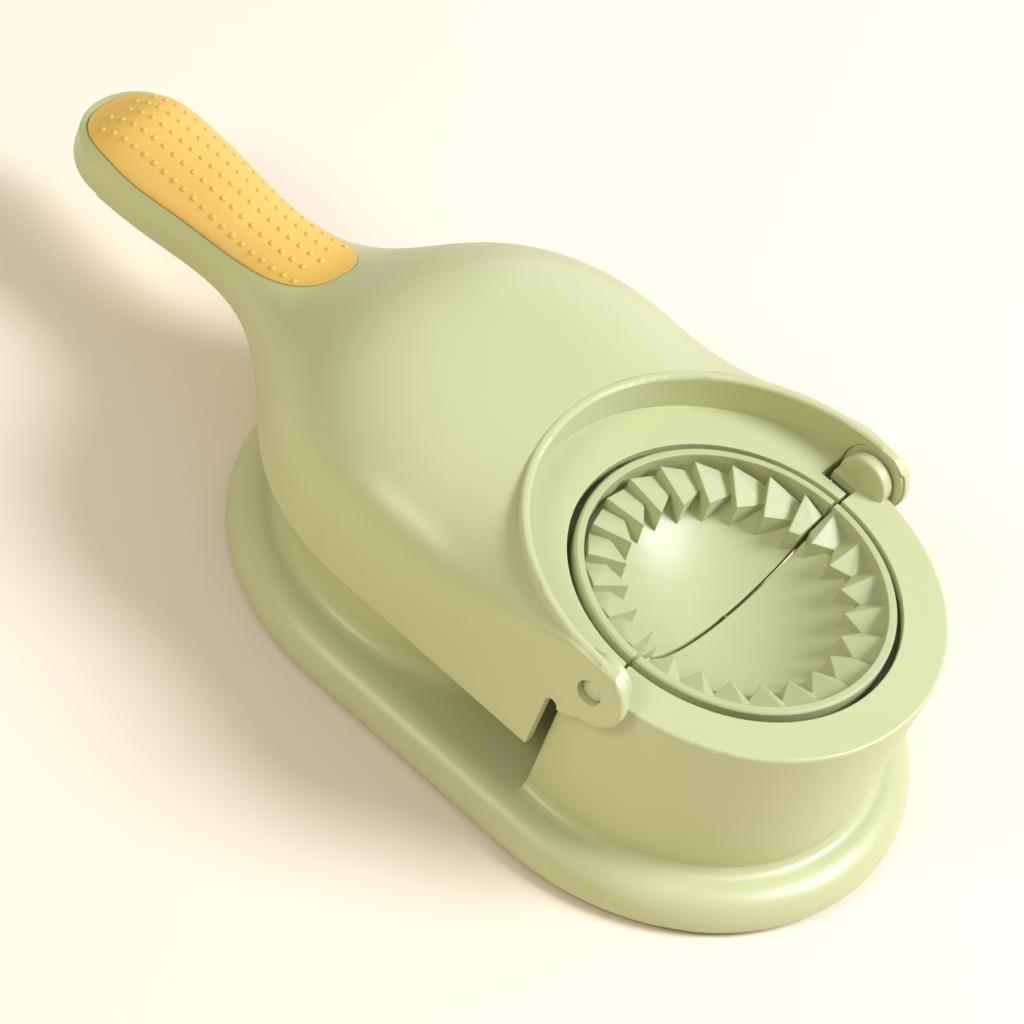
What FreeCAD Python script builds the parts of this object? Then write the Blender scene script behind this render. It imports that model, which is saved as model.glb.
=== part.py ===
import FreeCAD, Part
import math
import os
from FreeCAD import Vector

os.makedirs("parts", exist_ok=True)

# Dumpling press. While it is modelled, the hinge axis lies over the origin: X runs along the hinge,
# Y from the mould towards the grip, Z up from the table. Every piece is moved at the end so that the
# origin is the middle of the press on the table. Lengths are millimetres.

# Turns in degrees, and the cuts' overrun
quarter_turn = 90.0
half_turn = 180.0
overrun = 2.0

# Hinge and dumpling mould
hinge_height = 59.2
mould_radius = 40.0
mould_wall = 2.2
rim_gap = 0.15
rim_bevel = 0.5
parting_gap = 0.9
ledge_depth = 6.6
ledge_width = 6.3
bowl_depth = 11.4
flange_depth = 8.5
flange_thickness = 2.0
flange_reach = 9.6
flange_end_gap = 12.0

# Crimping teeth of the mould
teeth_per_half = 12
tooth_height = 5.4
tooth_tip_height = 2.4
tooth_reach = 10.4
tooth_channel = 1.3
tooth_sink = 0.6
tooth_foot_reach = 0.5
tooth_skew_angle = 4.0
tooth_valley_share = 0.53
tooth_valley_rise = 1.9
tooth_valley_end_rise = 1.4
tooth_overlap_angle = 0.4
front_crest_share = 0.85
front_flank_share = 0.4
rear_crest_share = 0.7
rear_flank_share = 0.0

# Drum, deck and hinge lugs of the base
drum_rim = 13.2
drum_draft = 2.4
drum_wall = 2.5
drum_back = 7.0
deck_drop = 1.0
deck_thickness = 2.5
deck_gap = 1.8
hinge_notch_depth = 8.6
deck_edge_round = 0.9
drum_foot_round = 3.2
lug_radius = 6.9
lug_width = 3.9
lug_side_gap = 0.5
lug_round = 0.8
lug_gap = 1.5

# Base with its platform
base_margin = 8.8
base_straight = 64.5
base_top = 11.0
base_underside = 1.2
base_wall = 2.4
bead_round = 7.8
base_foot_round = 1.5
platform_centre = 66.0
platform_side_gap = 4.2
platform_drop = 26.2
platform_wall = 2.6
platform_edge_round = 1.0
platform_foot_round = 4.0
dough_recess = 1.2
dough_rim = 4.0
well_edge = 3.0

# Cover of the base, its bosses and its feet
cover_thickness = 2.4
cover_gap = 0.2
cover_boss_inset = 7.4
cover_boss_place = 14.0
foot_radius = 6.5
foot_height = 2.0
foot_gap = 0.1
foot_inset = 22.0
foot_front_place = -24.0
foot_rear_place = 89.0

# Screws and the bosses that take them
screw_radius = 1.3
screw_head_radius = 2.6
screw_head_height = 1.3
screw_length = 6.4
screw_gap = 0.05
head_gap = 0.2
boss_wall = 1.8
mould_boss_angles = (32.0, 74.0, 106.0, 148.0)

# Hinge pins
pin_radius = 3.3
pin_fit = 0.06
pin_seat = 0.02
pin_recess = 1.7
pin_end_wall = 0.7
pin_bevel = 0.4

# Lever shell: dome, hood and ears
hood_clearance = 0.5
hood_wall = 2.6
lip_height = 9.6
lip_width = 2.7
lip_round = 1.1
ear_thickness = 3.4
ear_radius = 9.6
ear_round = 1.2
ear_overhang = 0.2
ear_step = 0.6
ear_notch_radius = 1.7
cheek_drop = 12.0
skirt_front = 9.0
skirt_drop = 28.7
shell_wall = 2.6
dome_rise = 9.4
dome_centre = 70.3

# Lever shell: neck and grip
lever_reach = 205.0
neck_share = 0.325
neck_half_width = 14.3
grip_share = 0.718
grip_half_width = 16.9
grip_drop = 11.7
grip_end_drop = 6.2
grip_end_radius = 17.5
grip_end_round = 3.0
grip_tuck = 0.9
grip_wall = 4.2
neck_rib_offset = 53.2
neck_rib_thickness = 2.0

# Grip pad
pad_thickness = 1.3
pad_proud = 0.25
pad_seam = 0.15
pad_half_width = 15.2
pad_front_gap = 1.1
pad_lift = 1.5
pad_end_gap = 2.2

# Press plate and grip cover
press_gap = 0.3
press_thickness = 3.4
plate_gap = 0.4
press_front = 13.5
press_front_screw_inset = 8.5
press_front_screw_place = 21.0
press_rear_screw_side = 21.0
press_rear_screw_place = 116.5
grip_cover_thickness = 2.4
grip_cover_screw_shares = (0.215, 0.742)

# Sizes that follow
drum_radius = mould_radius + drum_rim
hood_radius = drum_radius + hood_clearance
lever_half_width = hood_radius + ear_thickness
base_half_width = drum_radius + base_margin
hinge_notch_side = drum_radius - hinge_notch_depth
lug_inner_face = drum_radius - lug_width
cover_boss_offset = base_half_width - cover_boss_inset
foot_side = base_half_width - foot_inset
deck_height = hinge_height - deck_drop
skirt_bottom = hinge_height - skirt_drop
dome_top = hinge_height + dome_rise
grip_top = hinge_height - grip_drop
pad_foot = skirt_bottom + grip_end_round + pad_lift
deck_hole_radius = mould_radius + deck_gap
lip_top = hinge_height + lip_height
shelf_bottom = deck_height - deck_thickness
flange_top = hinge_height - flange_depth
flange_radius = mould_radius + flange_reach
boss_radius = screw_radius + boss_wall
mould_boss_radius = (mould_radius + flange_radius) / 2 + deck_gap / 2
bowl_radius = mould_radius - mould_wall - ledge_width
cover_top = base_underside + cover_thickness
ceiling = dome_top + lip_top
platform_radius = hood_radius - platform_side_gap
platform_top = hinge_height - platform_drop
press_bottom = platform_top + press_gap
press_top = press_bottom + press_thickness
press_front_screw_side = lever_half_width - press_front_screw_inset
neck_rib_place = dome_centre + neck_rib_offset
handle_length = lever_reach - neck_rib_place
neck_place = neck_rib_place + neck_share * handle_length
grip_place = neck_rib_place + grip_share * handle_length
pad_front = neck_rib_place + pad_front_gap
pad_end = lever_reach - pad_end_gap
grip_cover_screw_places = tuple(neck_rib_place + share * handle_length for share in grip_cover_screw_shares)
middle_place = (lever_reach - base_half_width) / 2


def box_between(x_from, x_to, y_from, y_to, z_from, z_to):
    corner = Vector(x_from, y_from, z_from)
    return Part.makeBox(x_to - x_from, y_to - y_from, z_to - z_from, corner)


def upright(radius, z_from, z_to, x=0, y=0):
    return Part.makeCylinder(radius, z_to - z_from, Vector(x, y, z_from))


def crosswise(radius, x_from, x_to, y, z):
    return Part.makeCylinder(radius, x_to - x_from, Vector(x_from, y, z), Vector(1, 0, 0))


def mirrored(shape):
    return shape.mirror(Vector(0, 0, 0), Vector(1, 0, 0))


def joined(shapes):
    return shapes[0].fuse(shapes[1:]).removeSplitter()


def flat_edges(shape, height):
    return [edge for edge in shape.Edges
            if abs(edge.BoundBox.ZMin - height) < pin_seat and abs(edge.BoundBox.ZMax - height) < pin_seat]


def write(name, shape):
    placed = shape.copy()
    placed.translate(Vector(0, -middle_place, 0))
    placed.exportStep("parts/" + name + ".step")
    print(name, "solids", len(placed.Solids), "valid", placed.isValid(), "volume", round(placed.Volume))


# One screw that is driven upwards, and the hole that takes it
def screw(x, y, seat):
    head = upright(screw_head_radius, seat - screw_head_height, seat, x, y)
    shank = upright(screw_radius, seat, seat + screw_length, x, y)
    return head.fuse(shank)


def screw_hole(x, y, seat):
    head_room = upright(screw_head_radius + head_gap, seat - screw_head_height - overrun, seat, x, y)
    bite = upright(screw_radius + screw_gap, seat, seat + screw_length + head_gap, x, y)
    return head_room.fuse(bite)


# Outline of the base: two round ends and a straight run between them
def stadium(half_width, z_from, z_to):
    front = upright(half_width, z_from, z_to)
    rear = upright(half_width, z_from, z_to, 0, base_straight)
    run = box_between(-half_width, half_width, 0, base_straight, z_from, z_to)
    return joined([front, run, rear])


def cover_screw_places():
    corner = cover_boss_offset * math.sqrt(0.5)
    places = []
    for side in (-1, 1):
        places.append((side * corner, -corner))
        places.append((side * cover_boss_offset, cover_boss_place))
        places.append((side * corner, base_straight + corner))
    return places


cover_screw_seat = base_underside + screw_head_height


# Base: rounded slab, hollow from below, closed by the cover
def base_slab():
    slab = stadium(base_half_width, base_underside, base_top)
    slab = slab.makeFillet(bead_round, flat_edges(slab, base_top))
    slab = slab.makeFillet(base_foot_round, flat_edges(slab, base_underside))
    hollow = stadium(base_half_width - base_wall, base_underside - overrun, base_top - base_wall)
    hollow = hollow.makeFillet(bead_round - base_wall, flat_edges(hollow, base_top - base_wall))
    return slab, hollow


# Hollow round where a round wall rises from the base
def foot_round(wall_radius, size):
    low = base_top - base_wall / 2
    core = wall_radius - base_wall / 2
    corners = [Vector(core, 0, base_top + size), Vector(core, 0, low), Vector(wall_radius + size, 0, low),
               Vector(wall_radius + size, 0, base_top)]
    edges = [Part.LineSegment(start, end).toShape() for start, end in zip(corners, corners[1:])]
    slack = size * (1 - math.sqrt(0.5))
    edges.append(Part.Arc(corners[-1], Vector(wall_radius + slack, 0, base_top + slack),
                          Vector(wall_radius, 0, base_top + size)).toShape())
    edges.append(Part.LineSegment(Vector(wall_radius, 0, base_top + size), corners[0]).toShape())
    return Part.Face(Part.Wire(edges)).revolve(Vector(0, 0, 0), Vector(0, 0, 1), 2 * half_turn)


# Drum: tapered half round wall under the mould deck, open at the back
def drum():
    foot_radius_here = drum_radius - drum_draft
    rise = deck_height - base_top
    foot = Vector(0, 0, base_top)
    outside = Part.makeCone(foot_radius_here, drum_radius, rise, foot)
    outside = outside.makeFillet(deck_edge_round, flat_edges(outside, deck_height))
    root = upright(foot_radius_here, base_top - base_wall, base_top)
    inside = Part.makeCone(foot_radius_here - drum_wall, drum_radius - drum_wall, rise, foot)
    inside.translate(Vector(0, 0, -deck_thickness))
    well = upright(foot_radius_here - drum_wall, base_top - base_wall - overrun, base_top)
    opening = upright(deck_hole_radius, base_top, deck_height + overrun)
    wall = outside.fuse([root, foot_round(foot_radius_here, drum_foot_round)]).cut(inside.fuse([well, opening]))
    behind = box_between(-drum_radius - overrun, drum_radius + overrun, drum_back,
                         drum_radius + overrun, base_top - base_wall - overrun, deck_height + overrun)
    inner_side = lug_inner_face - lug_gap
    middle = box_between(-inner_side, inner_side, -parting_gap / 2, drum_radius, base_top,
                         deck_height + overrun)
    return wall.cut(behind).cut(middle)


# Lug: round boss on the deck that holds one hinge pin
def lug():
    disc = crosswise(lug_radius, lug_inner_face, drum_radius - lug_side_gap, 0, hinge_height)
    inner_rim = [edge for edge in disc.Edges if abs(edge.BoundBox.XMax - lug_inner_face) < pin_seat]
    disc = disc.makeFillet(lug_round, inner_rim)
    root = box_between(lug_inner_face, drum_radius + overrun, -lug_radius, drum_back, shelf_bottom, deck_height)
    within = upright(drum_radius, shelf_bottom, hinge_height + lug_radius + overrun)
    return disc.fuse(root).common(within)


# Platform on which the dough is pressed flat
def platform():
    outside = upright(platform_radius, base_top - base_wall, platform_top, 0, platform_centre)
    outside = outside.makeFillet(platform_edge_round, flat_edges(outside, platform_top))
    recess = upright(platform_radius - dough_rim, platform_top - dough_recess, platform_top + overrun,
                     0, platform_centre)
    inside = upright(platform_radius - platform_wall, base_top - base_wall - overrun,
                     platform_top - dough_recess - platform_wall, 0, platform_centre)
    around = foot_round(platform_radius, platform_foot_round)
    around.translate(Vector(0, platform_centre, 0))
    return outside.fuse(around).cut(recess), inside


def mould_boss(angle, z_from, z_to):
    turn = math.radians(angle)
    return upright(boss_radius, z_from, z_to, mould_boss_radius * math.cos(turn),
                   mould_boss_radius * math.sin(turn))


def mould_screw_places():
    places = []
    for angle in mould_boss_angles:
        turn = math.radians(angle)
        places.append((mould_boss_radius * math.cos(turn), mould_boss_radius * math.sin(turn)))
    return places


mould_screw_seat = flange_top - flange_thickness


def base_shell():
    slab, hollow = base_slab()
    stand, stand_hollow = platform()
    well = upright(drum_radius - drum_draft - drum_wall, base_underside - overrun, base_top + overrun)
    well = well.cut(box_between(-drum_radius, drum_radius, -well_edge, drum_radius,
                                base_underside - 2 * overrun, base_top + 2 * overrun))
    shell = slab.cut(hollow).fuse(stand).cut([stand_hollow, well])
    bosses = [mould_boss(-angle, flange_top, shelf_bottom) for angle in mould_boss_angles]
    bosses += [upright(boss_radius, cover_top, base_top, x, y).common(slab) for x, y in cover_screw_places()]
    shell = shell.fuse([drum(), lug(), mirrored(lug())] + bosses)
    bore = crosswise(pin_radius + pin_seat, lug_inner_face + pin_end_wall, drum_radius + overrun, 0,
                     hinge_height)
    rooms = [bore, mirrored(bore)]
    rooms += [screw_hole(x, y, cover_screw_seat) for x, y in cover_screw_places()]
    rooms += [screw_hole(x, -y, mould_screw_seat) for x, y in mould_screw_places()]
    return shell.cut(rooms).removeSplitter()


# Cover of the base with pockets for the feet
def foot_places():
    return {"foot_front_left": (-foot_side, foot_front_place), "foot_front_right": (foot_side, foot_front_place),
            "foot_rear_left": (-foot_side, foot_rear_place), "foot_rear_right": (foot_side, foot_rear_place)}


def base_cover():
    cover = stadium(base_half_width - base_wall - cover_gap, base_underside, cover_top)
    for x, y in foot_places().values():
        cover = cover.cut(upright(foot_radius + foot_gap, base_underside - overrun, foot_height, x, y))
    for x, y in cover_screw_places():
        cover = cover.cut(screw_hole(x, y, cover_screw_seat))
    return cover


def foot(x, y):
    return upright(foot_radius, 0, foot_height, x, y)


# Mould half: bowl, ledge with teeth, rim and flange, turned through half a circle behind the hinge line
def mould_half(crest_share, flank_share, channel):
    top = hinge_height - rim_gap
    ledge = hinge_height - ledge_depth
    inner = mould_radius - mould_wall
    sphere = (bowl_radius ** 2 + bowl_depth ** 2) / (2 * bowl_depth)
    sphere_height = ledge - bowl_depth + sphere
    outer_sphere = sphere + mould_wall
    under_ledge = ledge - mould_wall
    under_turn = math.sqrt(outer_sphere ** 2 - (sphere_height - under_ledge) ** 2)
    half_angle = math.asin(bowl_radius / sphere) / 2
    under_angle = math.asin(under_turn / outer_sphere) / 2

    def at(radius, height):
        return Vector(radius, 0, height)

    def on_sphere(radius, angle):
        return at(radius * math.sin(angle), sphere_height - radius * math.cos(angle))

    flange_bottom = flange_top - flange_thickness
    corners = [at(bowl_radius, ledge), at(inner, ledge), at(inner, top), at(mould_radius - rim_bevel, top),
               at(mould_radius, top - rim_bevel), at(mould_radius, flange_top), at(flange_radius, flange_top),
               at(flange_radius, flange_bottom), at(inner, flange_bottom), at(inner, under_ledge),
               at(under_turn, under_ledge)]
    edges = [Part.LineSegment(start, end).toShape() for start, end in zip(corners, corners[1:])]
    edges.append(Part.Arc(corners[-1], on_sphere(outer_sphere, under_angle),
                          on_sphere(outer_sphere, 0)).toShape())
    edges.append(Part.LineSegment(on_sphere(outer_sphere, 0), on_sphere(sphere, 0)).toShape())
    edges.append(Part.Arc(on_sphere(sphere, 0), on_sphere(sphere, half_angle), corners[0]).toShape())
    profile = Part.Face(Part.Wire(edges))
    half = profile.revolve(Vector(0, 0, 0), Vector(0, 0, 1), half_turn)

    def bowl_height(radius):
        return sphere_height - math.sqrt(sphere ** 2 - radius ** 2)

    pitch = half_turn / teeth_per_half
    outer = inner - channel
    foot_radius_here = outer - tooth_reach - tooth_foot_reach
    teeth = [tooth((count + crest_share) * pitch, pitch, flank_share, outer, ledge, foot_radius_here,
                   bowl_height(foot_radius_here) - tooth_sink) for count in range(-1, teeth_per_half + 1)]
    half = half.fuse(teeth)
    seam = box_between(-flange_radius - overrun, flange_radius + overrun, -mould_radius, parting_gap / 2,
                       mould_screw_seat - mould_radius, hinge_height + overrun)
    half = half.cut(seam)
    for side in (-1, 1):
        x_from = min(side * mould_radius, side * (flange_radius + overrun))
        end = box_between(x_from, x_from + flange_reach + overrun, -overrun, flange_end_gap,
                          flange_bottom - overrun, flange_top + overrun)
        half = half.cut(end.cut(upright(mould_radius, flange_bottom - overrun, flange_top + overrun)))
    for x, y in mould_screw_places():
        half = half.cut(screw_hole(x, y, mould_screw_seat))
    return half.removeSplitter()


# Tooth: a slanting petal with its crest from the rim to the tip, a steep flank on one side, a long one on the
# other, and its tip standing on the bowl
def tooth(angle, pitch, flank_share, outer, ledge, foot_radius_here, foot_height_here):
    def corner(radius, turn, height):
        turn = math.radians(turn)
        return Vector(radius * math.cos(turn), radius * math.sin(turn), height)

    def along(turn, height):
        start = corner(outer, turn, height)
        end = corner(outer - tooth_reach, turn - tooth_skew_angle, height)
        return start + (end - start) * tooth_valley_share

    low = ledge - tooth_sink
    rim_height = ledge + tooth_valley_rise
    end_height = ledge + tooth_valley_end_rise
    steep = angle + flank_share * pitch
    long = steep - pitch - tooth_overlap_angle
    crest = corner(outer, angle, ledge + tooth_height)
    tip = corner(outer - tooth_reach, angle - tooth_skew_angle, ledge + tooth_tip_height)
    foot = corner(foot_radius_here, angle - tooth_skew_angle, foot_height_here)
    steep_rim, steep_end = corner(outer, steep, rim_height), along(steep, end_height)
    long_rim, long_end = corner(outer, long, rim_height), along(long, end_height)
    steep_root, steep_end_root = corner(outer, steep, low), along(steep, low)
    long_root, long_end_root = corner(outer, long, low), along(long, low)
    flanks = [(crest, tip, steep_end), (crest, steep_end, steep_rim), (crest, long_rim, long_end),
              (crest, long_end, tip)]
    rim_end = [(crest, steep_rim, long_rim), (steep_rim, steep_root, long_root), (steep_rim, long_root, long_rim)]
    skirts = [(steep_rim, steep_end, steep_end_root), (steep_rim, steep_end_root, steep_root),
              (long_rim, long_root, long_end_root), (long_rim, long_end_root, long_end)]
    bowl_end = [(tip, foot, steep_end), (steep_end, foot, steep_end_root), (tip, long_end, foot),
                (long_end, long_end_root, foot)]
    underside = [(steep_root, steep_end_root, long_end_root), (steep_root, long_end_root, long_root),
                 (steep_end_root, foot, long_end_root)]
    sides = flanks + rim_end + skirts + bowl_end + underside
    faces = [Part.Face(Part.makePolygon(list(side) + [side[0]])) for side in sides]
    return Part.Solid(Part.Shell(faces))


def front_mould():
    half = mould_half(front_crest_share, front_flank_share, -tooth_sink)
    return half.rotated(Vector(0, 0, 0), Vector(0, 0, 1), half_turn)


def rear_mould():
    return mould_half(rear_crest_share, rear_flank_share, tooth_channel)


# Hinge pin, pushed through the ear into the lug
def pin():
    inner_end = lug_inner_face + pin_end_wall
    outer_end = lever_half_width - pin_recess
    body = crosswise(pin_radius, inner_end, outer_end, 0, hinge_height)
    rims = [edge for edge in body.Edges if edge.BoundBox.XLength < pin_seat]
    return body.makeChamfer(pin_bevel, rims)


# Cross sections of the lever from the skirt's front edge to the end of the grip. Each row is the place, the
# half width, the crown's height, the share of the height below the arch, the arch's fullness and the share
# of the grip's tuck at the foot.
dome_place_shares = (0.1, 0.26, 0.49, 0.75, 1.0)
dome_spring_shares = (0.78, 0.62, 0.38, 0.25, 0.25)
dome_fullness = (6.2, 4.2, 3.2, 2.9, 2.9)
turn_angles = (15.0, 28.0, 41.0)
turn_crown_shares = (1.0, 0.95, 0.77)
turn_fullness = (2.65, 2.4, 2.25)
neck_place_shares = (0.24, 0.43, 0.62, 0.81, 1.0)
neck_width_shares = (0.65, 0.388, 0.17, 0.048, 0.0)
neck_crown_shares = (0.41, 0.12, 0.0, -0.03, -0.02)
neck_tuck_shares = (0.0, 0.2, 0.5, 0.9, 1.0)
neck_spring_share = 0.28
grip_place_shares = (0.31, 0.62, 1.0)
grip_width_shares = (0.15, 0.65, 1.0)
grip_crown_shares = (0.01, 0.02, 0.02)
grip_spring_share = 0.32
end_place_shares = (0.5, 1.15)
end_drop_shares = (0.3, 1.3)
neck_fullness = 2.2
grip_fullness = 2.15
front_fullness = 8.0
front_spring_share = 0.93
curve_shares = (0.0, 0.1, 0.2, 0.28, 0.33, 0.36, 0.38, 0.395, 0.41, 0.43, 0.47, 0.54, 0.63, 0.75, 0.88)
arch_steps = 60


def lever_rows(front):
    rows = [(place, lever_half_width, dome_top, front_spring_share, front_fullness, 0)
            for place in (front, front / 2, 0, skirt_front)]
    run = dome_centre - skirt_front
    for place, spring, full in zip(dome_place_shares, dome_spring_shares, dome_fullness):
        rows.append((skirt_front + place * run, lever_half_width, dome_top, spring, full, 0))
    rise = dome_top - grip_top
    for angle, crown, full in zip(turn_angles, turn_crown_shares, turn_fullness):
        turn = math.radians(angle)
        rows.append((dome_centre + lever_half_width * math.sin(turn), lever_half_width * math.cos(turn),
                     grip_top + crown * rise, dome_spring_shares[-1], full, 0))
    start, wide = rows[-1][0], rows[-1][1]
    for place, width, crown, tuck in zip(neck_place_shares, neck_width_shares, neck_crown_shares,
                                         neck_tuck_shares):
        rows.append((start + place * (neck_place - start), neck_half_width + width * (wide - neck_half_width),
                     grip_top + crown * rise, neck_spring_share, neck_fullness, tuck))
    for place, width, crown in zip(grip_place_shares, grip_width_shares, grip_crown_shares):
        rows.append((neck_place + place * (grip_place - neck_place),
                     neck_half_width + width * (grip_half_width - neck_half_width),
                     grip_top + crown * rise, grip_spring_share, grip_fullness, 1))
    for place, drop in zip(end_place_shares, end_drop_shares):
        rows.append((grip_place + place * (lever_reach - grip_place), grip_half_width,
                     grip_top - drop * grip_end_drop, grip_spring_share, grip_fullness, 1))
    return rows


# Point at a given length along a trace of points
def point_along(trace, wanted):
    for start, end in zip(trace, trace[1:]):
        step = (end - start).Length
        if wanted <= step:
            return start + (end - start) * (wanted / step)
        wanted = wanted - step
    return trace[-1]


# One cross section: a floor, and one curve up a flank, over a rounded power arch and down the other flank.
# The curve's points lie at the same shares of its length in every section.
def lever_section(row, inset, floor):
    place, width, crown, spring_share, fullness, tuck_share = row
    spring = skirt_bottom + spring_share * (crown - skirt_bottom)
    half = width - inset
    rise = crown - inset - spring
    trace = [Vector(half - tuck_share * grip_tuck, place, floor)]
    for step in range(arch_steps):
        turn = math.radians(step / arch_steps * quarter_turn)
        trace.append(Vector(half * math.cos(turn) ** (2 / fullness), place,
                            spring + rise * math.sin(turn) ** (2 / fullness)))
    crest = Vector(0, place, crown - inset)
    trace.append(crest)
    length = sum((end - start).Length for start, end in zip(trace, trace[1:]))
    right = [point_along(trace, share * length) for share in curve_shares]
    left = [Vector(-point.x, point.y, point.z) for point in reversed(right)]
    right_shares = [share / 2 for share in curve_shares]
    left_shares = [1 - share for share in reversed(right_shares)]
    curve = Part.BSplineCurve()
    curve.interpolate(Points=right + [crest] + left, Parameters=right_shares + [0.5] + left_shares)
    return Part.Wire([curve.toShape(), Part.LineSegment(left[-1], right[0]).toShape()])


# The lever's outer form, drawn in by an inset, cut flat at the front and below, with its round end
def lever_form(inset, end_inset, floor, front):
    sections = [lever_section(row, inset if row[0] < neck_rib_place else end_inset, floor - overrun)
                for row in lever_rows(front - overrun)]
    form = Part.makeLoft(sections, True, False)
    end_centre = lever_reach - grip_end_radius
    ahead = box_between(-base_half_width, base_half_width, front, end_centre, floor, ceiling)
    end = upright(grip_end_radius - end_inset, floor, ceiling, 0, end_centre)
    end = end.makeFillet(grip_end_round, flat_edges(end, floor))
    return form.common(ahead.fuse(end))


def lever_outside(inset):
    return lever_form(inset, inset, skirt_bottom, -ear_radius - overrun)


def lever_inside(gap):
    return lever_form(shell_wall + gap, grip_wall + gap, skirt_bottom - overrun - grip_end_round,
                      -ear_radius - 2 * overrun)


# Ear: round end of the skirt that hangs on the pin. The outline trims the shell ahead of the hinge line, and
# the lining thickens it up to the drum.
def ear_outline():
    disc = crosswise(ear_radius, hood_radius - overrun, lever_half_width + ear_overhang, 0, hinge_height)
    outer_rim = [edge for edge in disc.Edges if edge.BoundBox.XMin > lever_half_width]
    return disc.makeFillet(ear_round, outer_rim)


def room_ahead_of_ears():
    ahead = box_between(-base_half_width, base_half_width, -ear_radius - 2 * overrun, 0,
                        skirt_bottom - overrun, ceiling)
    return ahead.cut(ear_outline()).cut(mirrored(ear_outline()))


def ear_lining():
    return crosswise(ear_radius - ear_step, hood_radius, lever_half_width - shell_wall / 2, 0, hinge_height)


# Room below the ears: the skirt starts behind it, with a rounded notch at its upper corner
def room_below_ears():
    cheek_bottom = hinge_height - cheek_drop
    low = skirt_bottom - overrun
    outline = [Vector(-base_half_width, -overrun, low), Vector(-base_half_width, skirt_front, low),
               Vector(-base_half_width, skirt_front, cheek_bottom),
               Vector(-base_half_width, skirt_front / 2, cheek_bottom),
               Vector(-base_half_width, 0, hinge_height - ear_radius),
               Vector(-base_half_width, -overrun, hinge_height - ear_radius)]
    room = Part.Face(Part.makePolygon(outline + [outline[0]])).extrude(Vector(2 * base_half_width, 0, 0))
    notch = crosswise(ear_notch_radius, -base_half_width, base_half_width, skirt_front - ear_notch_radius,
                      cheek_bottom)
    return room.fuse(notch)


# Hood round the mould: shelf, wall and raised lip behind the hinge line
def hood():
    wall_radius = hood_radius + hood_wall
    block = upright(wall_radius, shelf_bottom, dome_top - lip_round)
    lip = upright(hood_radius + lip_width, hinge_height, lip_top)
    lip = lip.cut(upright(hood_radius, hinge_height - overrun, lip_top + overrun))
    lip = lip.makeFillet(lip_round, flat_edges(lip, lip_top))
    front = box_between(-base_half_width, base_half_width, -base_half_width, parting_gap / 2,
                        shelf_bottom - overrun, ceiling)
    return block.fuse(lip).cut(front)


def hood_room():
    room = upright(hood_radius, deck_height, ceiling)
    lug_room_back = lug_radius + lug_gap
    room = room.fuse(box_between(-hood_radius, hood_radius, -ear_radius - overrun, 0, deck_height, ceiling))
    room = room.fuse(upright(deck_hole_radius, shelf_bottom - overrun, deck_height + overrun))
    for side in (-1, 1):
        x_from = min(side * hinge_notch_side, side * hood_radius)
        x_to = max(side * hinge_notch_side, side * hood_radius)
        room = room.fuse(crosswise(lug_room_back, x_from, x_to, 0, hinge_height))
        room = room.fuse(box_between(x_from, x_to, -ear_radius, lug_room_back, shelf_bottom - overrun,
                                     hinge_height))
    return room


def press_screw_places():
    return ((-press_front_screw_side, press_front_screw_place), (press_front_screw_side, press_front_screw_place),
            (-press_rear_screw_side, press_rear_screw_place), (press_rear_screw_side, press_rear_screw_place))


press_screw_seat = press_bottom + screw_head_height
grip_cover_top = skirt_bottom + grip_cover_thickness
grip_screw_seat = skirt_bottom + screw_head_height


# Outline of the pad seen from above, as shares of its half width and of its length
pad_side_shares = (0.36, 0.62, 0.77, 0.805, 0.815, 0.87, 0.95, 1.0, 0.97, 0.83, 0.5)
pad_place_shares = (0.012, 0.055, 0.13, 0.22, 0.33, 0.46, 0.59, 0.72, 0.82, 0.915, 0.98)


def pad_prism(seam):
    half = pad_half_width + seam
    front = pad_front - seam
    length = pad_end + seam - front
    right = [Vector(side * half, front + place * length, pad_foot)
             for side, place in zip(pad_side_shares, pad_place_shares)]
    left = [Vector(-point.x, point.y, point.z) for point in reversed(right)]
    tip = [Vector(0, front, pad_foot)]
    end = [Vector(0, front + length, pad_foot)]
    outline = Part.BSplineCurve()
    outline.interpolate(Points=tip + right + end + left, PeriodicFlag=True)
    face = Part.Face(Part.Wire(outline.toShape()))
    return face.extrude(Vector(0, 0, dome_top - pad_foot))


def grip_pad():
    top = lever_outside(-pad_proud)
    return pad_prism(0).common(top).cut(lever_outside(pad_thickness))


# Posts inside the shell that take the screws, and the rib between dome and grip
def lever_posts():
    core = lever_outside(shell_wall / 2)
    front, rear = press_screw_places()[:2], press_screw_places()[2:]
    posts = [upright(boss_radius, press_top, shelf_bottom + deck_thickness / 2, x, y) for x, y in front]
    posts += [upright(boss_radius, press_top, dome_top, x, y).common(core) for x, y in rear]
    posts += [upright(boss_radius, grip_cover_top, dome_top, 0, y).common(core)
              for y in grip_cover_screw_places]
    posts += [mould_boss(angle, flange_top, shelf_bottom) for angle in mould_boss_angles]
    rib = box_between(-base_half_width, base_half_width, neck_rib_place, neck_rib_place + neck_rib_thickness,
                      skirt_bottom, dome_top)
    return posts + [rib.common(core)]


def lever_shell():
    shell = lever_outside(0).cut([lever_inside(0), room_below_ears(), room_ahead_of_ears()])
    shell = shell.fuse([hood(), ear_lining(), mirrored(ear_lining())] + lever_posts())
    pin_room = crosswise(pin_radius + pin_fit, hood_radius - overrun, lever_half_width + overrun, 0, hinge_height)
    rooms = [hood_room(), pin_room, mirrored(pin_room)]
    rooms.append(pad_prism(pad_seam).cut(lever_outside(pad_thickness + pad_seam)))
    rooms += [screw_hole(x, y, press_screw_seat) for x, y in press_screw_places()]
    rooms += [screw_hole(0, y, grip_screw_seat) for y in grip_cover_screw_places]
    rooms += [screw_hole(x, y, mould_screw_seat) for x, y in mould_screw_places()]
    return shell.cut(rooms).removeSplitter()


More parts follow.
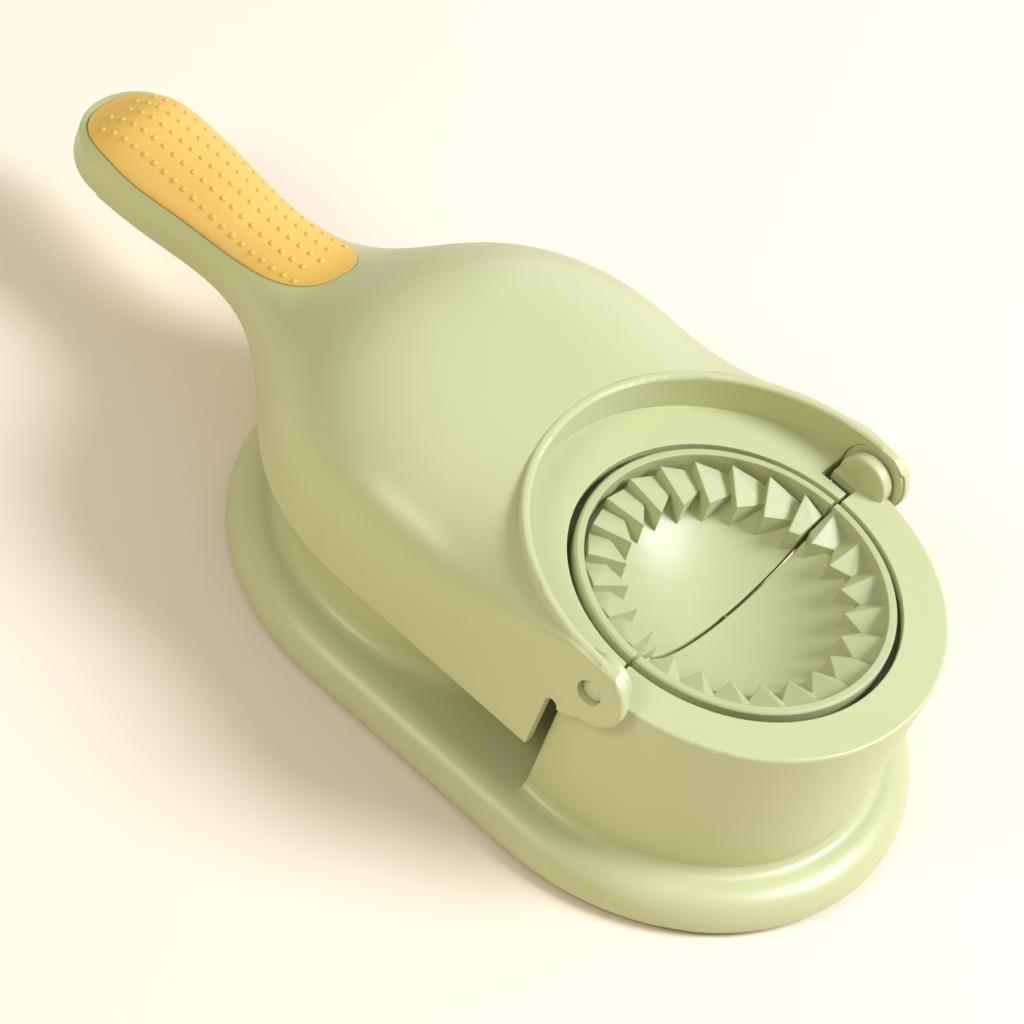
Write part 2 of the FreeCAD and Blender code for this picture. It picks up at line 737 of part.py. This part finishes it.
# Press plate: fills the dome's opening and meets the platform
def press_plate():
    slab = box_between(-base_half_width, base_half_width, press_front, neck_rib_place - plate_gap,
                       press_bottom, press_top)
    plate = lever_inside(plate_gap).common(slab)
    for x, y in press_screw_places():
        plate = plate.cut(screw_hole(x, y, press_screw_seat))
    return plate


def grip_cover():
    slab = box_between(-base_half_width, base_half_width, neck_rib_place + neck_rib_thickness + plate_gap,
                       lever_reach, skirt_bottom, grip_cover_top)
    plate = lever_inside(cover_gap).common(slab)
    for y in grip_cover_screw_places:
        plate = plate.cut(screw_hole(0, y, grip_screw_seat))
    return plate


write("base_shell", base_shell())
write("base_cover", base_cover())
write("cover_screws", Part.makeCompound([screw(x, y, cover_screw_seat) for x, y in cover_screw_places()]))
for name, place in foot_places().items():
    write(name, foot(*place))
write("front_mould", front_mould())
write("front_mould_screws", Part.makeCompound([screw(x, -y, mould_screw_seat) for x, y in mould_screw_places()]))
write("pin_right", pin())
write("pin_left", mirrored(pin()))
write("lever_shell", lever_shell())
write("grip_pad", grip_pad())
write("grip_cover", grip_cover())
write("grip_cover_screws", Part.makeCompound([screw(0, y, grip_screw_seat) for y in grip_cover_screw_places]))
write("rear_mould", rear_mould())
write("rear_mould_screws", Part.makeCompound([screw(x, y, mould_screw_seat) for x, y in mould_screw_places()]))
write("press_plate", press_plate())
write("press_plate_screws", Part.makeCompound([screw(x, y, press_screw_seat) for x, y in press_screw_places()]))
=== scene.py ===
import math

import bpy
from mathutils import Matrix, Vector


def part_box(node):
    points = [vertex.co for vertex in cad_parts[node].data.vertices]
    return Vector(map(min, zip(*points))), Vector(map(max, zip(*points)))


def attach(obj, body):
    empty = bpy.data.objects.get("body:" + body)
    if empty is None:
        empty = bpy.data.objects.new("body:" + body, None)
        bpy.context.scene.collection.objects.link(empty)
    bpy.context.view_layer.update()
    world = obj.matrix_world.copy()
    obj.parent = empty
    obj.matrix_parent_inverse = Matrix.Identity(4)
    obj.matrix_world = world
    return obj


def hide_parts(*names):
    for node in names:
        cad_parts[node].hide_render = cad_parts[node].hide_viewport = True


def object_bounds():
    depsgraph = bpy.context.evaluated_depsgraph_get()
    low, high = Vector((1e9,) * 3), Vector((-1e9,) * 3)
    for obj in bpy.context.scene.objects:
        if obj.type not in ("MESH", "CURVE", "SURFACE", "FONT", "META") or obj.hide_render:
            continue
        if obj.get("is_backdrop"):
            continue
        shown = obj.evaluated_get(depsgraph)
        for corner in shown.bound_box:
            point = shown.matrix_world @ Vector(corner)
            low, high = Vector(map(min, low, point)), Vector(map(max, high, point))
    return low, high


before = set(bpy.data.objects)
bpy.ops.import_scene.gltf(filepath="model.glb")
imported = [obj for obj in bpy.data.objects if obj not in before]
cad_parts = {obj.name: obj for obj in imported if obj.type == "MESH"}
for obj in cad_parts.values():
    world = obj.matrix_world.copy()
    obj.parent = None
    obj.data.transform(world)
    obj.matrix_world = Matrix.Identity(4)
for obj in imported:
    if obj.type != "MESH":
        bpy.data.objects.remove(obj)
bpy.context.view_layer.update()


# Base shell with its cover: the stand in one piece, with the drum under the front mould half and the raised
# round on which the dough is pressed, and the plate that closes it from below. Both are injection-moulded
# polypropylene in pale pistachio green, satin, with edges that the tool leaves slightly rounded.
class Finish:
    """A socket of a material, so that sums on it can be written as sums."""

    def __init__(self, tree, socket=None):
        self.tree = tree
        self.socket = socket

    def node(self, kind, settings, inputs, output=0):
        made = self.tree.nodes.new("ShaderNode" + kind)
        for name, value in settings.items():
            setattr(made, name, value)
        for name, value in inputs.items():
            if isinstance(value, Finish):
                self.tree.links.new(value.socket, made.inputs[name])
            else:
                made.inputs[name].default_value = value
        return Finish(self.tree, made.outputs[output] if made.outputs else None)

    def math(self, operation, first, second):
        return self.node("Math", {"operation": operation}, {0: first, 1: second})

    def __add__(self, other):
        return self.math("ADD", self, other)

    __radd__ = __add__

    def __mul__(self, other):
        return self.math("MULTIPLY", self, other)

    __rmul__ = __mul__

    def __sub__(self, other):
        return self.math("SUBTRACT", self, other)

    def __rsub__(self, other):
        return self.math("SUBTRACT", other, self)

    def blend(self, share, first, second):
        return self.node("Mix", {"data_type": "RGBA"}, {0: share, 6: first, 7: second}, 2)


def new_finish(name):
    material = bpy.data.materials.new(name)
    material.use_nodes = True
    material.node_tree.nodes.clear()
    return material, Finish(material.node_tree)


def surface(finish, inputs):
    shader = finish.node("BsdfPrincipled", {}, inputs)
    finish.node("OutputMaterial", {}, {"Surface": shader})


def dress(node, material):
    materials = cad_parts[node].data.materials
    materials.clear()
    materials.append(material)


noise_middle = 0.5
polish_swing, grain_swing = 0.1, 0.04


def moulded_green(name, pale, deep, rough, texture_depth):
    material, finish = new_finish(name)
    place = finish.node("TexCoord", {}, {}, "Object")
    flow = finish.node("TexNoise", {}, {"Vector": place, "Scale": 24.0, "Detail": 3.0, "Roughness": 0.55})
    grain = finish.node("TexNoise", {}, {"Vector": place, "Scale": 1500.0, "Detail": 2.0})
    polish = finish.node("TexNoise", {}, {"Vector": place, "Scale": 95.0, "Detail": 4.0})
    colour = finish.blend(flow, deep, pale)
    soft_edge = finish.node("Bevel", {"samples": 6}, {"Radius": 0.0005})
    bump = finish.node("Bump", {}, {"Strength": texture_depth, "Distance": 0.0001, "Height": grain,
                                    "Normal": soft_edge})
    uneven = rough + polish_swing * (polish - noise_middle) + grain_swing * (grain - noise_middle)
    surface(finish, {"Base Color": colour, "Roughness": uneven, "Normal": bump,
                     "Subsurface Weight": 0.08, "Subsurface Radius": (0.8, 1.0, 0.5),
                     "Subsurface Scale": 0.0015, "Specular IOR Level": 0.5})
    return material


pistachio_pale = (0.535, 0.57, 0.295, 1.0)
pistachio_deep = (0.5, 0.535, 0.265, 1.0)
shell_green = moulded_green("shell_green", pistachio_pale, pistachio_deep, 0.38, 0.06)
dress("base_shell", shell_green)
dress("base_cover", shell_green)

# Mould halves: the two toothed half bowls that crimp the dumpling, screwed under the deck and the hood's
# shelf. They are moulded in a slightly deeper green than the shells, with a finer texture, so that the dough
# comes away.
mould_pale = (0.475, 0.515, 0.26, 1.0)
mould_deep = (0.445, 0.48, 0.235, 1.0)
mould_green = moulded_green("mould_green", mould_pale, mould_deep, 0.4, 0.03)
dress("front_mould", mould_green)
dress("rear_mould", mould_green)

# Lever shell with the plates that close it: the domed lid with the hood, the ears and the grip, and under it
# the press plate and the grip's cover, which are screwed on. All are moulded in the base's green.
for node in ("lever_shell", "press_plate", "grip_cover"):
    dress(node, shell_green)

# Hinge pins: plain round pins on which the lever folds, pushed through its ears into the drum's lugs. They
# are of a slightly paler, harder plastic with a smoother skin.
pin_pale = (0.56, 0.61, 0.355, 1.0)
pin_deep = (0.53, 0.58, 0.325, 1.0)
pin_green = moulded_green("pin_green", pin_pale, pin_deep, 0.28, 0.02)
dress("pin_left", pin_green)
dress("pin_right", pin_green)


# Grip pad: a thin skin of soft golden-yellow rubber, moulded into a shallow bed in the top of the grip, where
# the palm pushes. It is duller than the plastic round it.
golden_pale = (0.81, 0.53, 0.115, 1.0)
golden_deep = (0.75, 0.47, 0.09, 1.0)
golden_rough, golden_swing = 0.5, 0.1


def soft_yellow(name):
    material, finish = new_finish(name)
    place = finish.node("TexCoord", {}, {}, "Object")
    flow = finish.node("TexNoise", {}, {"Vector": place, "Scale": 40.0, "Detail": 3.0})
    grain = finish.node("TexNoise", {}, {"Vector": place, "Scale": 2200.0, "Detail": 2.0})
    colour = finish.blend(flow, golden_deep, golden_pale)
    soft_edge = finish.node("Bevel", {"samples": 6}, {"Radius": 0.0004})
    bump = finish.node("Bump", {}, {"Strength": 0.1, "Distance": 0.0001, "Height": grain,
                                    "Normal": soft_edge})
    uneven = golden_rough + golden_swing * (flow - noise_middle)
    surface(finish, {"Base Color": colour, "Roughness": uneven, "Normal": bump,
                     "Subsurface Weight": 0.1, "Subsurface Radius": (1.0, 0.6, 0.2),
                     "Subsurface Scale": 0.0015})
    return material


pad_yellow = soft_yellow("pad_yellow")
dress("grip_pad", pad_yellow)


# Bumps of the grip pad: five rows of small round studs that stop the hand from sliding, moulded in one with
# the pad. Each stands on the pad's surface, square to it.
stud_radius = 0.0008
stud_height = 0.00042
stud_root = 0.0001
stud_pitch = 0.00335
stud_rows = (-0.0097, -0.0048, 0.0, 0.0048, 0.0097)
stud_first, stud_last = 0.0605, 0.1255
stud_lowest = 0.041
row_stagger = 0.5
above_pad = 0.1
steps = int((stud_last - stud_first) / stud_pitch) + 1


def stud_blank():
    bpy.ops.object.select_all(action="DESELECT")
    bpy.ops.mesh.primitive_ico_sphere_add(subdivisions=2, radius=stud_radius)
    bpy.ops.object.mode_set(mode="EDIT")
    bpy.ops.mesh.select_all(action="SELECT")
    bpy.ops.mesh.bisect(plane_co=(0, 0, -stud_root), plane_no=(0, 0, 1), clear_inner=True)
    bpy.ops.object.mode_set(mode="OBJECT")
    return bpy.context.object


def copy_of(blank):
    bpy.ops.object.select_all(action="DESELECT")
    blank.select_set(True)
    bpy.context.view_layer.objects.active = blank
    bpy.ops.object.duplicate()
    return bpy.context.object


def join_copies(name, blank, copies):
    bpy.data.objects.remove(blank)
    bpy.ops.object.select_all(action="DESELECT")
    for copy in copies:
        copy.select_set(True)
    bpy.context.view_layer.objects.active = copies[0]
    bpy.ops.object.join()
    group = bpy.context.object
    group.name = name
    return group


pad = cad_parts["grip_pad"]
blank = stud_blank()
studs = []
for row, side in enumerate(stud_rows):
    for step in range(steps):
        along = stud_first + (step + row_stagger * (row % 2)) * stud_pitch
        hit, point, slope, _ = pad.ray_cast(Vector((side, along, above_pad)), Vector((0, 0, -1)))
        if not hit or point.z < stud_lowest:
            continue
        stud = copy_of(blank)
        stud.scale = (1, 1, stud_height / stud_radius)
        stud.rotation_mode = "QUATERNION"
        stud.rotation_quaternion = slope.to_track_quat("Z", "Y")
        stud.location = point
        bpy.ops.object.transform_apply(location=True, rotation=True, scale=True)
        studs.append(stud)
grip_studs = join_copies("grip_studs", blank, studs)
bpy.ops.object.origin_set(type="ORIGIN_CURSOR")
bpy.ops.object.shade_smooth()
grip_studs.data.materials.append(pad_yellow)
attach(grip_studs, "lever")


# Feet: four plain discs of soft grey rubber, pressed into pockets of the base's cover. They keep the press
# from sliding on the table.
rubber_pale = (0.5, 0.51, 0.48, 1.0)
rubber_deep = (0.42, 0.43, 0.40, 1.0)
rubber_rough, rubber_swing = 0.65, 0.2


def foot_rubber(name):
    material, finish = new_finish(name)
    place = finish.node("TexCoord", {}, {}, "Object")
    grain = finish.node("TexNoise", {}, {"Vector": place, "Scale": 900.0, "Detail": 4.0})
    colour = finish.blend(grain, rubber_deep, rubber_pale)
    bump = finish.node("Bump", {}, {"Strength": 0.2, "Distance": 0.0001, "Height": grain})
    uneven = rubber_rough + rubber_swing * (grain - noise_middle)
    surface(finish, {"Base Color": colour, "Roughness": uneven, "Normal": bump})
    return material


rubber = foot_rubber("rubber")
for node in ("foot_front_left", "foot_front_right", "foot_rear_left", "foot_rear_right"):
    dress(node, rubber)


# Screws of the base's cover and the mould halves: small screws of zinc-plated steel, driven from below into
# the bosses of the shells.
zinc_pale = (0.74, 0.74, 0.72, 1.0)
zinc_deep = (0.62, 0.62, 0.6, 1.0)
zinc_rough, zinc_swing = 0.28, 0.15


def plated_steel(name):
    material, finish = new_finish(name)
    place = finish.node("TexCoord", {}, {}, "Object")
    grain = finish.node("TexNoise", {}, {"Vector": place, "Scale": 1800.0, "Detail": 3.0})
    colour = finish.blend(grain, zinc_deep, zinc_pale)
    uneven = zinc_rough + zinc_swing * (grain - noise_middle)
    surface(finish, {"Base Color": colour, "Roughness": uneven, "Metallic": 1.0})
    return material


steel = plated_steel("steel")
for node in ("cover_screws", "front_mould_screws", "rear_mould_screws"):
    dress(node, steel)


# Screws of the press plate and the grip's cover, which show when the lever is folded over: pressed from wire
# and zinc-plated, with flat round heads that are sunk into the plates. Each head has a cross recess for the
# driver, which left them at different turns.
head_radius, head_height, head_edge = 0.0026, 0.0013, 0.0003
shank_radius, shank_length = 0.0013, 0.0064
recess_span, recess_width, recess_depth = 0.0032, 0.0008, 0.0008
head_sides, shank_sides = 40, 24
rear_screw_side = 0.021
driver_turn = math.radians(25)
crease = math.radians(35)


def combine(piece, tool, operation):
    change = piece.modifiers.new("change", "BOOLEAN")
    change.operation = operation
    change.object = tool
    bpy.context.view_layer.objects.active = piece
    bpy.ops.object.modifier_apply(modifier=change.name)
    bpy.data.objects.remove(tool)


def screw_blank():
    bpy.ops.mesh.primitive_cylinder_add(vertices=head_sides, radius=head_radius, depth=head_height,
                                        location=(0, 0, head_height / 2))
    blank = bpy.context.object
    edge = blank.modifiers.new("edge", "BEVEL")
    edge.width = head_edge
    edge.segments = 3
    bpy.ops.object.modifier_apply(modifier=edge.name)
    bpy.ops.mesh.primitive_cylinder_add(vertices=shank_sides, radius=shank_radius, depth=shank_length,
                                        location=(0, 0, head_height + shank_length / 2 - head_edge))
    combine(blank, bpy.context.object, "UNION")
    for span, width in ((recess_span, recess_width), (recess_width, recess_span)):
        bpy.ops.mesh.primitive_cube_add(size=1)
        slit = bpy.context.object
        slit.scale = (span, width, 2 * recess_depth)
        bpy.ops.object.transform_apply(location=True, rotation=True, scale=True)
        combine(blank, slit, "DIFFERENCE")
    return blank


def cross_screws(name, node, places):
    bpy.ops.object.select_all(action="DESELECT")
    blank = screw_blank()
    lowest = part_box(node)[0][2]
    copies = []
    for count, (x, y) in enumerate(places):
        copy = copy_of(blank)
        copy.location = (x, y, lowest)
        copy.rotation_euler = (0, 0, (count + 1) * driver_turn)
        bpy.ops.object.transform_apply(location=True, rotation=True, scale=True)
        copies.append(copy)
    group = join_copies(name, blank, copies)
    bpy.ops.object.shade_smooth_by_angle(angle=crease)
    group.data.materials.clear()
    group.data.materials.append(steel)
    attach(group, "lever")
    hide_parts(node)


low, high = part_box("press_plate_screws")
side, front, rear = high[0] - head_radius, low[1] + head_radius, high[1] - head_radius
cross_screws("press_plate_screw_heads", "press_plate_screws",
             ((-side, front), (side, front), (-rear_screw_side, rear), (rear_screw_side, rear)))
low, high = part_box("grip_cover_screws")
front, rear = low[1] + head_radius, high[1] - head_radius
cross_screws("grip_cover_screw_heads", "grip_cover_screws", ((0, front), (0, rear)))


# Floor: a plain, matt, cream-coloured studio floor on which the press stands. It throws a little warm light
# back at the walls.
floor_size = 8
floor_cream = (0.84, 0.74, 0.575, 1.0)
cream, finish = new_finish("cream_floor")
surface(finish, {"Base Color": floor_cream, "Roughness": 0.9})
bpy.ops.mesh.primitive_plane_add(size=floor_size, location=(0, 0, 0))
floor = bpy.context.object
floor.name = "floor"
floor.data.materials.append(cream)
floor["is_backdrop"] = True

# Room and lights: a dim room, warm by the horizon and cooler overhead. A wide cool light stands in front on
# the right, a small warm one on the left, a little behind, and a faint low one on the right behind, which
# draws the far edges.
warm_horizon = (0.3, 0.175, 0.045, 1.0)
cool_zenith = (0.45, 0.48, 0.52, 1.0)
room = bpy.data.worlds.new("room")
room.use_nodes = True
room.node_tree.nodes.clear()
sky = Finish(room.node_tree)
direction = sky.node("TexCoord", {}, {}, "Generated")
height = sky.node("SeparateXYZ", {}, {"Vector": direction}, "Z")
share = sky.node("MapRange", {}, {"Value": height, "From Min": 0.05, "From Max": 0.75})
glow = sky.blend(share, warm_horizon, cool_zenith)
background = sky.node("Background", {}, {"Color": glow, "Strength": 1.0})
sky.node("OutputWorld", {}, {"Surface": background})
bpy.context.scene.world = room

daylight = (0.97, 0.98, 1.15)
lamplight = (1.0, 0.94, 0.81)
lights = (
    ("key", (0.72, -0.92, 1.1), 0.7, 28, daylight),
    ("fill", (-0.98, 0.32, 0.96), 0.42, 7, lamplight),
    ("rim", (1.35, 0.5, 0.4), 0.8, 2.5, daylight),
)
for name, place, size, power, tint in lights:
    bpy.ops.object.light_add(type="AREA", location=place)
    light = bpy.context.object
    light.name = name
    light.data.shape = "DISK"
    light.data.size = size
    light.data.energy = power
    light.data.color = tint
    light.rotation_euler = (-light.location).to_track_quat("-Z", "Y").to_euler()

# Camera: a long lens, high up in front on the left, where the photograph was taken from. It is turned a
# little about its line of sight, as the photograph is.
camera_place = (-0.97892, -0.41155, 1.14240)
camera_turn = (40.732, -16.484, -49.570)
camera_lens = 223.353
camera_sensor = 36
farthest = 50
bpy.ops.object.camera_add(location=camera_place)
camera = bpy.context.object
camera.rotation_euler = [math.radians(turn) for turn in camera_turn]
camera.data.sensor_width = camera_sensor
camera.data.lens = camera_lens
camera.data.clip_end = farthest
bpy.context.scene.camera = camera
bpy.context.scene.view_settings.view_transform = "Standard"

low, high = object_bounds()
